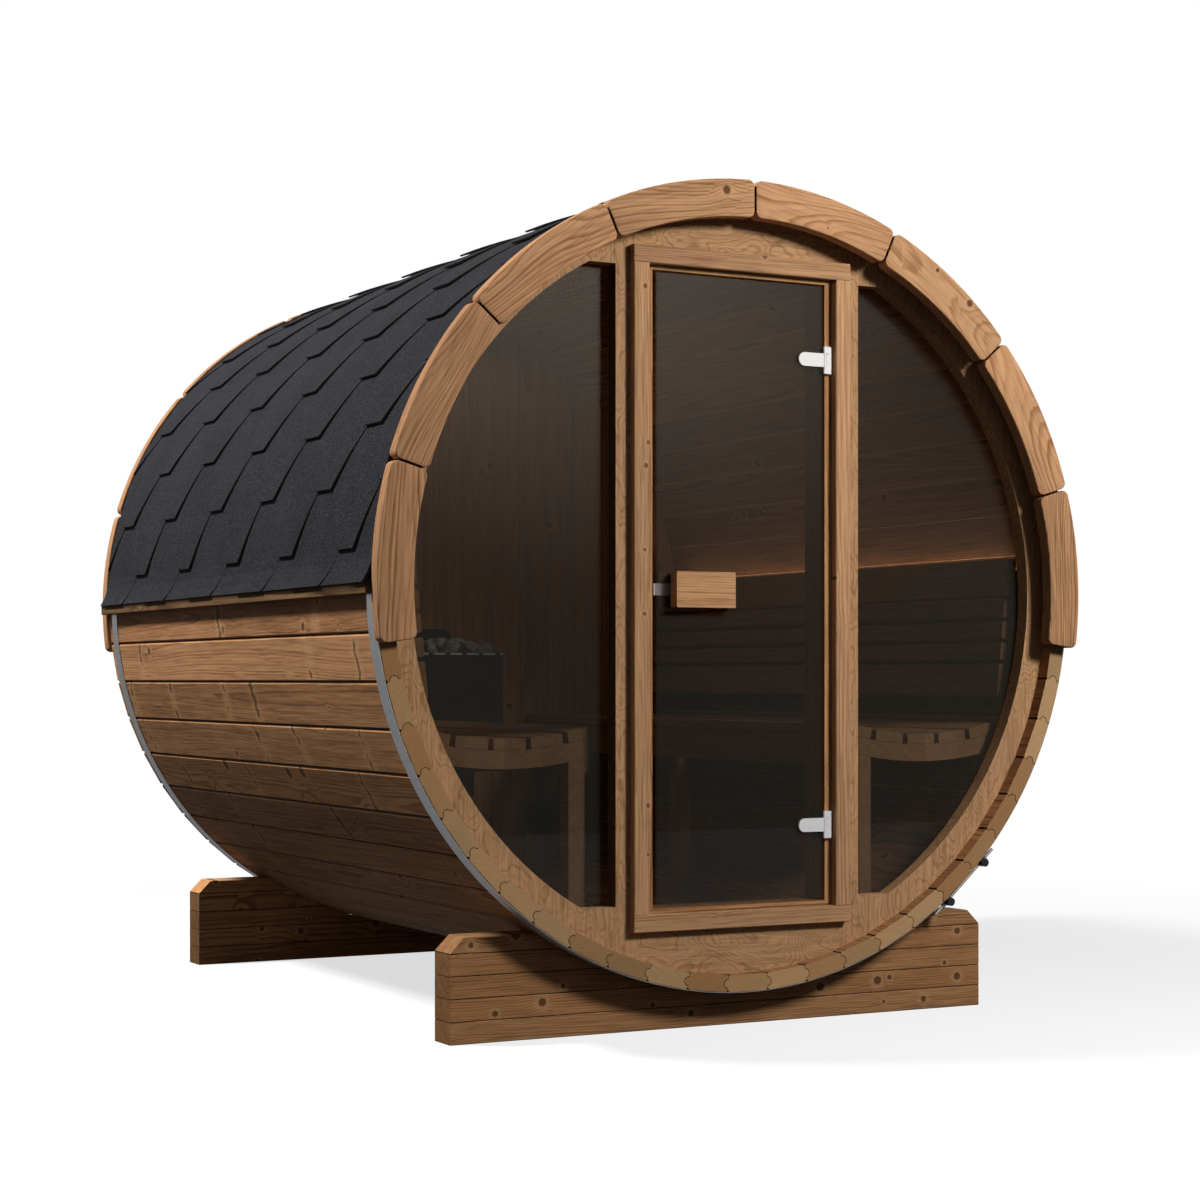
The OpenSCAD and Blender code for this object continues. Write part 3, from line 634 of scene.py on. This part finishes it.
def pick(piece, wanted):
    """Opens the piece for editing with the vertices selected whose place is wanted."""
    activate(piece)
    bpy.ops.object.mode_set(mode="EDIT")
    bpy.ops.mesh.select_mode(type="VERT")
    bpy.ops.mesh.select_all(action="DESELECT")
    bpy.ops.object.mode_set(mode="OBJECT")
    for vertex in piece.data.vertices:
        vertex.select = wanted(vertex.co)
    bpy.ops.object.mode_set(mode="EDIT")


def leave():
    bpy.ops.object.mode_set(mode="OBJECT")


def set_down(piece):
    """Moves the piece's place, turn and size into its mesh."""
    activate(piece)
    bpy.ops.object.transform_apply(location=True, rotation=True, scale=True)


def turn(piece, x=0.0, y=0.0, z=0.0):
    piece.rotation_euler = (x, y, z)
    set_down(piece)


def apply_modifier(piece, kind, **settings):
    activate(piece)
    modifier = piece.modifiers.new(kind.lower(), kind)
    for name, value in settings.items():
        setattr(modifier, name, value)
    bpy.ops.object.modifier_apply(modifier=modifier.name)


def copy_to(piece, place):
    copied = piece.copy()
    copied.data = piece.data.copy()
    copied.location = place
    bpy.context.collection.objects.link(copied)
    set_down(copied)
    return copied


def cut_past(piece, point, normal):
    """Cuts away what lies past a plane, and closes the cut."""
    pick(piece, lambda co: True)
    bpy.ops.mesh.bisect(plane_co=point, plane_no=normal, use_fill=True, clear_outer=True)
    leave()


def bend_over(piece, radius):
    """Bends what lies flat, with X from the ridge and Z outward, round the barrel's axis."""
    turn(piece, x=math.pi / 2)
    reach = [v.co.x for v in piece.data.vertices]
    apply_modifier(piece, "SIMPLE_DEFORM", deform_method="BEND", deform_axis="Z",
                   angle=(max(reach) - min(reach)) / radius)
    turn(piece, x=-math.pi / 2)
    piece.location.z = AXIS_Z + radius
    set_down(piece)


def flipped(piece, name, x=1, y=1):
    copied = copy_to(piece, (0, 0, 0))
    copied.name = name
    copied.data.name = name
    copied.scale = (x, y, 1)
    set_down(copied)
    pick(copied, lambda co: True)
    bpy.ops.mesh.normals_make_consistent(inside=False)
    leave()
    return copied


def join(pieces, name):
    activate(*pieces)
    bpy.ops.object.join()
    joined = bpy.context.object
    joined.name = name
    joined.data.name = name
    return joined


def add_to_body(piece, replaced=(), body="sauna"):
    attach(piece, body)
    if replaced:
        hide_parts(*replaced)


# Shingles: laid flat with X down the roof from the ridge and Z out of it, then bent round the barrel

ROOF_R = 1.026
COURSE = 0.157
TAB_PITCH = 0.407
TAB_FOOT = 0.105
TAB_SHOULDER = 0.305
TAB_T = 0.005
FOOT_LIFT = 0.0062
TAB_ROWS = 11
FIRST_COURSE = 0.085
FIRST_TAB_Y = 0.1745
RAISE = -0.002
COURSE_LIFT = 0.0015
SLOPE = math.atan(COURSE_LIFT / COURSE)
EAVE_OVERHANG = 0.006
EAVE_FLARE = 0.026
FLARE_H = 0.085
SHOULDER_ROW = 5
ROW_LEN = COURSE / SHOULDER_ROW
eave_turn = math.pi / 2 - (eave_high.z - AXIS_Z) / ROOF_R
ROOF_LEN = ROOF_R * eave_turn + EAVE_OVERHANG


def shingle_tab():
    bpy.ops.object.select_all(action="DESELECT")
    bpy.ops.mesh.primitive_grid_add(x_subdivisions=TAB_ROWS, y_subdivisions=2, size=1)
    tab = bpy.context.object
    tab.scale = (TAB_ROWS * ROW_LEN, TAB_PITCH, 1)
    tab.location.x = -TAB_ROWS * ROW_LEN / 2
    set_down(tab)
    for row in range(SHOULDER_ROW + 1):
        width = TAB_FOOT + (TAB_SHOULDER - TAB_FOOT) * row / SHOULDER_ROW
        x = -row * ROW_LEN
        pick(tab, lambda co: abs(co.x - x) < ROW_LEN / 4)
        bpy.ops.transform.resize(value=(1, width / TAB_PITCH, 1), center_override=(x, 0, 0))
        bpy.ops.transform.translate(value=(0, 0, FOOT_LIFT * (1 - row / SHOULDER_ROW)))
        leave()
    tab.data.materials.append(granules)
    tab.data.materials.append(edge)
    apply_modifier(tab, "SOLIDIFY", thickness=TAB_T, offset=-1, material_offset_rim=1)
    turn(tab, y=-SLOPE)
    return tab


def roof_side(name):
    tab = shingle_tab()
    laid = []
    courses = math.ceil((ROOF_LEN - FIRST_COURSE) / COURSE)
    for course in range(-2, courses):
        foot = ROOF_LEN - FIRST_COURSE - course * COURSE
        shift = FIRST_TAB_Y + (course % 2) * TAB_PITCH / 2 - TAB_PITCH
        count = math.ceil((REAR_Y - FRONT_Y) / TAB_PITCH) + 2
        for k in range(count):
            y = FRONT_Y + shift + k * TAB_PITCH
            if y + TAB_PITCH / 2 <= FRONT_Y or y - TAB_PITCH / 2 >= REAR_Y:
                continue
            piece = copy_to(tab, (foot, y, RAISE))
            if y - TAB_PITCH / 2 < FRONT_Y:
                cut_past(piece, (0, FRONT_Y + END_SKIN, 0), (0, -1, 0))
            if y + TAB_PITCH / 2 > REAR_Y:
                cut_past(piece, (0, REAR_Y - END_SKIN, 0), (0, 1, 0))
            if foot > ROOF_LEN:
                cut_past(piece, (ROOF_LEN, 0, 0), (1, 0, 0))
            if foot < TAB_ROWS * ROW_LEN:
                cut_past(piece, (END_SKIN, 0, 0), (-1, 0, 0))
            if piece.data.vertices:
                laid.append(piece)
            else:
                bpy.data.objects.remove(piece)
    bpy.data.objects.remove(tab)
    roof = join(laid, name)

    pick(roof, lambda co: co.x > ROOF_LEN - END_SKIN)
    bpy.ops.transform.translate(value=(0, 0, EAVE_FLARE), use_proportional_edit=True,
                                proportional_edit_falloff="SHARP", proportional_size=FLARE_H)
    leave()
    bend_over(roof, ROOF_R)
    return roof


granules = shingle_granules()
edge = bitumen()
roof_right = roof_side("shingles_right")
roof_left = flipped(roof_right, "shingles_left", x=-1)
add_to_body(roof_right, ["roof_right"])
add_to_body(roof_left, ["roof_left"])


# Arch boards: four to a side, with rounded corners and edges

BOARD_GAP = 0.0045
BOARD_CORNER = 0.018
BOARD_ROUND = 0.004
BOARD_CUTS = 12
BOARD_PITCH = ARCH_TURN * ARCH_R


def arch_board():
    bpy.ops.object.select_all(action="DESELECT")
    bpy.ops.mesh.primitive_cube_add(size=1)
    board = bpy.context.object
    board.scale = (BOARD_PITCH - BOARD_GAP, ARCH_T, ARCH_W)
    board.location = (BOARD_PITCH / 2, (arch_low.y + arch_high.y) / 2, -ARCH_W / 2)
    set_down(board)
    pick(board, lambda co: False)
    bpy.ops.mesh.select_mode(type="EDGE")
    leave()
    corners = board.data.vertices
    for border in board.data.edges:
        a, b = [corners[k].co for k in border.vertices]
        border.select = abs(a.y - b.y) > ARCH_T / 2
    bpy.ops.object.mode_set(mode="EDIT")
    bpy.ops.mesh.bevel(offset=BOARD_CORNER, segments=6, affect="EDGES")
    leave()
    apply_modifier(board, "BEVEL", width=BOARD_ROUND, segments=3, limit_method="ANGLE",
                   angle_limit=math.radians(40))
    for cut in range(1, BOARD_CUTS):
        pick(board, lambda co: True)
        bpy.ops.mesh.bisect(plane_co=(BOARD_PITCH * cut / BOARD_CUTS, 0, 0), plane_no=(1, 0, 0))
        leave()
    board.data.materials.append(nodes["front_arch_right"].data.materials[0])
    return board


def arch_side():
    board = arch_board()
    row = [copy_to(board, (BOARD_PITCH * k, 0, 0)) for k in range(BOARD_COUNT)]
    bpy.data.objects.remove(board)
    arch = join(row, "arch_front_right")
    bend_over(arch, ARCH_R)
    activate(arch)
    bpy.ops.object.shade_smooth_by_angle(angle=math.radians(30))
    return arch


arch_right = arch_side()
add_to_body(arch_right, ["front_arch_right"])
add_to_body(flipped(arch_right, "arch_front_left", x=-1), ["front_arch_left"])
add_to_body(flipped(arch_right, "arch_rear_right", y=-1), ["rear_arch_right"])
add_to_body(flipped(arch_right, "arch_rear_left", x=-1, y=-1), ["rear_arch_left"])


# Stones in the stove's basket

STONE_SIZE = 0.062
STONE_SHAPES = 3
STONE_LAYERS = 2
STONE_DEPTH = 0.075
LAYER_RISE = 0.036
CROWN_RISE = 0.016
chance = random.Random(7)


def stone_shape(seed):
    bpy.ops.object.select_all(action="DESELECT")
    bpy.ops.mesh.primitive_ico_sphere_add(subdivisions=2, radius=STONE_SIZE / 2)
    stone = bpy.context.object
    pick(stone, lambda co: True)
    bpy.ops.transform.vertex_random(offset=STONE_SIZE * 0.14, seed=seed, wait_for_input=False)
    bpy.ops.transform.resize(value=(1.15, 0.9, 0.75))
    leave()
    apply_modifier(stone, "DECIMATE", ratio=0.4)
    apply_modifier(stone, "BEVEL", width=STONE_SIZE * 0.03, segments=1)
    stone.data.materials.append(stone_finish)
    return stone


def stove_stones():
    low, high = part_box("stove_stones")
    shapes = [stone_shape(seed) for seed in range(1, STONE_SHAPES + 1)]
    laid = []
    columns = round((high.x - low.x) / STONE_SIZE)
    rows = round((high.y - low.y) / STONE_SIZE)
    for layer in range(STONE_LAYERS):
        for i in range(columns):
            for j in range(rows):
                x = low.x + (i + 0.5) * (high.x - low.x) / columns
                y = low.y + (j + 0.5) * (high.y - low.y) / rows
                crown = 1 - (2 * (x - low.x) / (high.x - low.x) - 1) ** 2
                z = high.z - STONE_DEPTH + layer * LAYER_RISE + crown * CROWN_RISE
                z = z + chance.uniform(-0.006, 0.006)
                stone = copy_to(chance.choice(shapes), (0, 0, 0))
                stone.rotation_euler = [chance.uniform(-3, 3) for _ in range(3)]
                stone.scale = [chance.uniform(0.85, 1.1)] * 3
                set_down(stone)
                stone.location = (x, y, z)
                set_down(stone)
                laid.append(stone)
    for shape in shapes:
        bpy.data.objects.remove(shape)
    return join(laid, "stones")


stone_finish = hearth_stone()
add_to_body(stove_stones(), ["stove_stones"])


# Stage

CARD_GLOW = 3.2


def seen_by(wire, *outputs):
    """1 for the kinds of ray that are named, and 0 for the others."""
    path = wire.node("LightPath", {}, {}, outputs[0])
    for name in outputs[1:]:
        path = path + wire.node("LightPath", {}, {}, name)
    return path.math("MINIMUM", path, 1.0)


def stage_floor():
    """White floor that keeps a soft shadow near the object, and lights it little from below."""
    bpy.ops.object.select_all(action="DESELECT")
    bpy.ops.mesh.primitive_plane_add(size=80)
    ground = bpy.context.object
    ground.name = "floor"
    material, wire = new_material("floor_white")
    x, y, z = place_on(wire)
    tree = material.node_tree
    seen = seen_by(wire, "Is Camera Ray", "Is Transmission Ray")
    glossy = seen_by(wire, "Is Glossy Ray")
    far = 0.7 + step(length(x, y), 1.6, 4.5) * 0.3
    pale = wire.node("BsdfDiffuse", {}, {"Color": mix(seen, linear("404040"), linear("ffffff"))}, "BSDF")
    white = wire.node("Emission", {}, {"Color": linear("ffffff"), "Strength": 1.0}, "Emission")
    shown = far * seen + glossy * 0.22
    both = wire.node("MixShader", {}, {"Fac": shown, "Shader": pale, "Shader_001": white}, "Shader")
    output = next(n for n in tree.nodes if n.type == "OUTPUT_MATERIAL")
    tree.links.new(both.socket, output.inputs["Surface"])
    tree.nodes.remove(tree.nodes["Principled BSDF"])
    ground.data.materials.append(material)


def reflection_card():
    """Softly edged card that the upper part of the glass mirrors."""
    bpy.ops.object.select_all(action="DESELECT")
    bpy.ops.mesh.primitive_plane_add(size=1)
    card = bpy.context.object
    card.name = "reflection_card"
    card.scale = (9, 6, 1)
    card.rotation_euler = (math.radians(90), 0, 0)
    card.location = (3.0, -8.0, 3.0)
    set_down(card)
    material, wire = new_material("card_glow")
    x, y, z = place_on(wire)
    tree = material.node_tree
    glow = step(z, 1.2, 3.6) * (1 - step(x, 3.2, 6.2))
    light = mix(glow, linear("000000"), linear("ffeedb"))
    white = wire.node("Emission", {}, {"Color": light, "Strength": CARD_GLOW}, "Emission")
    output = next(n for n in tree.nodes if n.type == "OUTPUT_MATERIAL")
    tree.links.new(white.socket, output.inputs["Surface"])
    tree.nodes.remove(tree.nodes["Principled BSDF"])
    card.data.materials.append(material)
    card.visible_camera = False
    card.visible_diffuse = False
    card.visible_shadow = False
    card.visible_transmission = False


def white_world():
    world = bpy.data.worlds.new("studio")
    world.use_nodes = True
    bpy.context.scene.world = world
    wire = Wire(world.node_tree)
    seen = seen_by(wire, "Is Camera Ray", "Is Transmission Ray")
    glossy = seen_by(wire, "Is Glossy Ray")
    background = world.node_tree.nodes["Background"]
    colour = mix(glossy, linear("4e4e50"), linear("c4c4c4"))
    colour = mix(seen, colour, linear("ffffff"))
    world.node_tree.links.new(colour.socket, background.inputs["Color"])
    background.inputs["Strength"].default_value = 1.0


def softbox(name, place, target, size, power, tint="ffffff"):
    lamp = bpy.data.lights.new(name, "AREA")
    lamp.shape = "RECTANGLE"
    lamp.size, lamp.size_y = size
    lamp.energy = power
    lamp.color = linear(tint)[:3]
    holder = bpy.data.objects.new(name, lamp)
    bpy.context.collection.objects.link(holder)
    holder.location = place
    holder.rotation_euler = (Vector(target) - Vector(place)).to_track_quat("-Z", "Y").to_euler()
    holder.visible_camera = False
    holder.visible_glossy = False
    return holder


def camera():
    lens = bpy.data.cameras.new("camera")
    lens.sensor_width = 36
    lens.lens = 72.68
    lens.shift_y = 0.0664
    holder = bpy.data.objects.new("camera", lens)
    holder.location = (-3.208, -6.314, 0.8835)
    holder.rotation_euler = (math.radians(90), 0, math.radians(-27.964))
    bpy.context.collection.objects.link(holder)
    bpy.context.scene.camera = holder


stage_floor()
reflection_card()
white_world()
softbox("key", (1.6, -4.3, 3.0), (0, -1, 1.1), (0.8, 0.8), 160)
softbox("side", (-5.3, 1.85, 7.45), (-0.9, 0, 1.2), (1.2, 1.2), 1000)
softbox("cabin", (0.1, 0.2, 1.98), (0.1, 0.2, 0.5), (0.6, 1.4), 1.2, "fff0e0")
glow = softbox("glow", (0.952, 0, 1.165), (0.952, 0, 2.0), (0.02, 1.8), 0.8, "ffe2c4")
glow.rotation_euler = (math.pi, 0, 0)
camera()
bpy.context.scene.view_settings.view_transform = "Standard"
